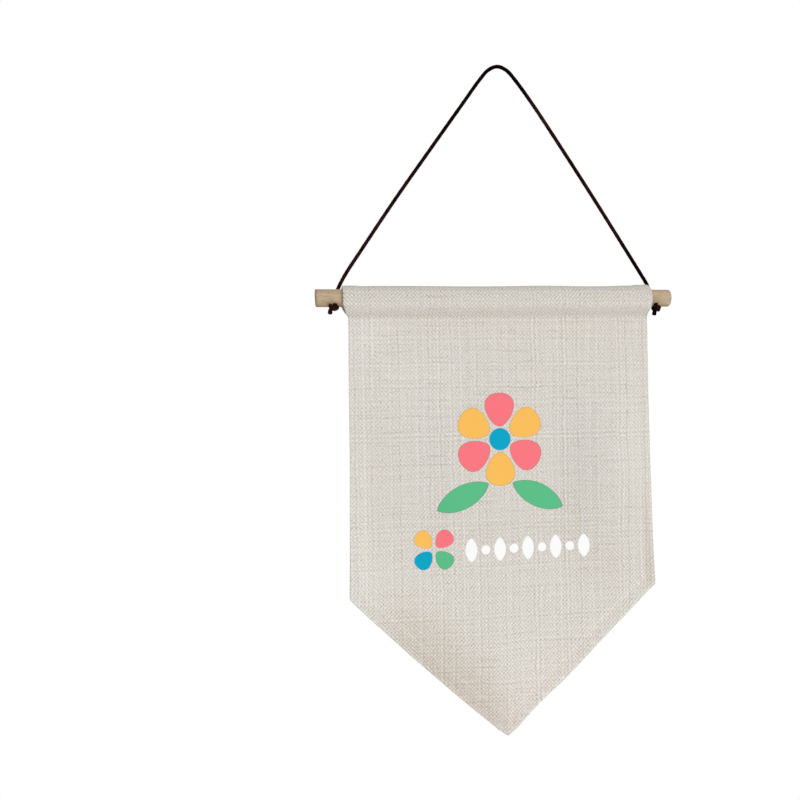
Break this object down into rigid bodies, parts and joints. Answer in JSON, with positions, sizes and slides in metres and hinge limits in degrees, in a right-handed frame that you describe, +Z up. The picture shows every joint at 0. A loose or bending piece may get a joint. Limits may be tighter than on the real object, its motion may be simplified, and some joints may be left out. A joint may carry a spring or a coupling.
{
  "type": "fabric wall banner on a dowel",
  "caption": "Pointed wall banner of linen-look cloth, its top sleeve on a round wooden dowel that hangs by a knotted cord.",
  "frame": {"origin": "the hang point: the underside of the cord at the top of its loop, where a nail or hook carries it", "axes": "+Z up, +X to the right along the dowel as the viewer sees the printed face, -Y out of the printed face"},
  "size_m": [0.2304, 0.019, 0.426],
  "materials": {
    "cloth": "matte plain-weave linen look, natural off-white, with a printed motif",
    "wood": "bare light wood, fine straight grain",
    "cord": "smooth waxed cord, very dark brown"
  },
  "bodies": {
    "root": {"banner_cloth": "cloth", "dowel": "wood", "hanging_cord": "cord", "knot_left": "cord", "knot_right": "cord"}
  },
  "joints": []
}
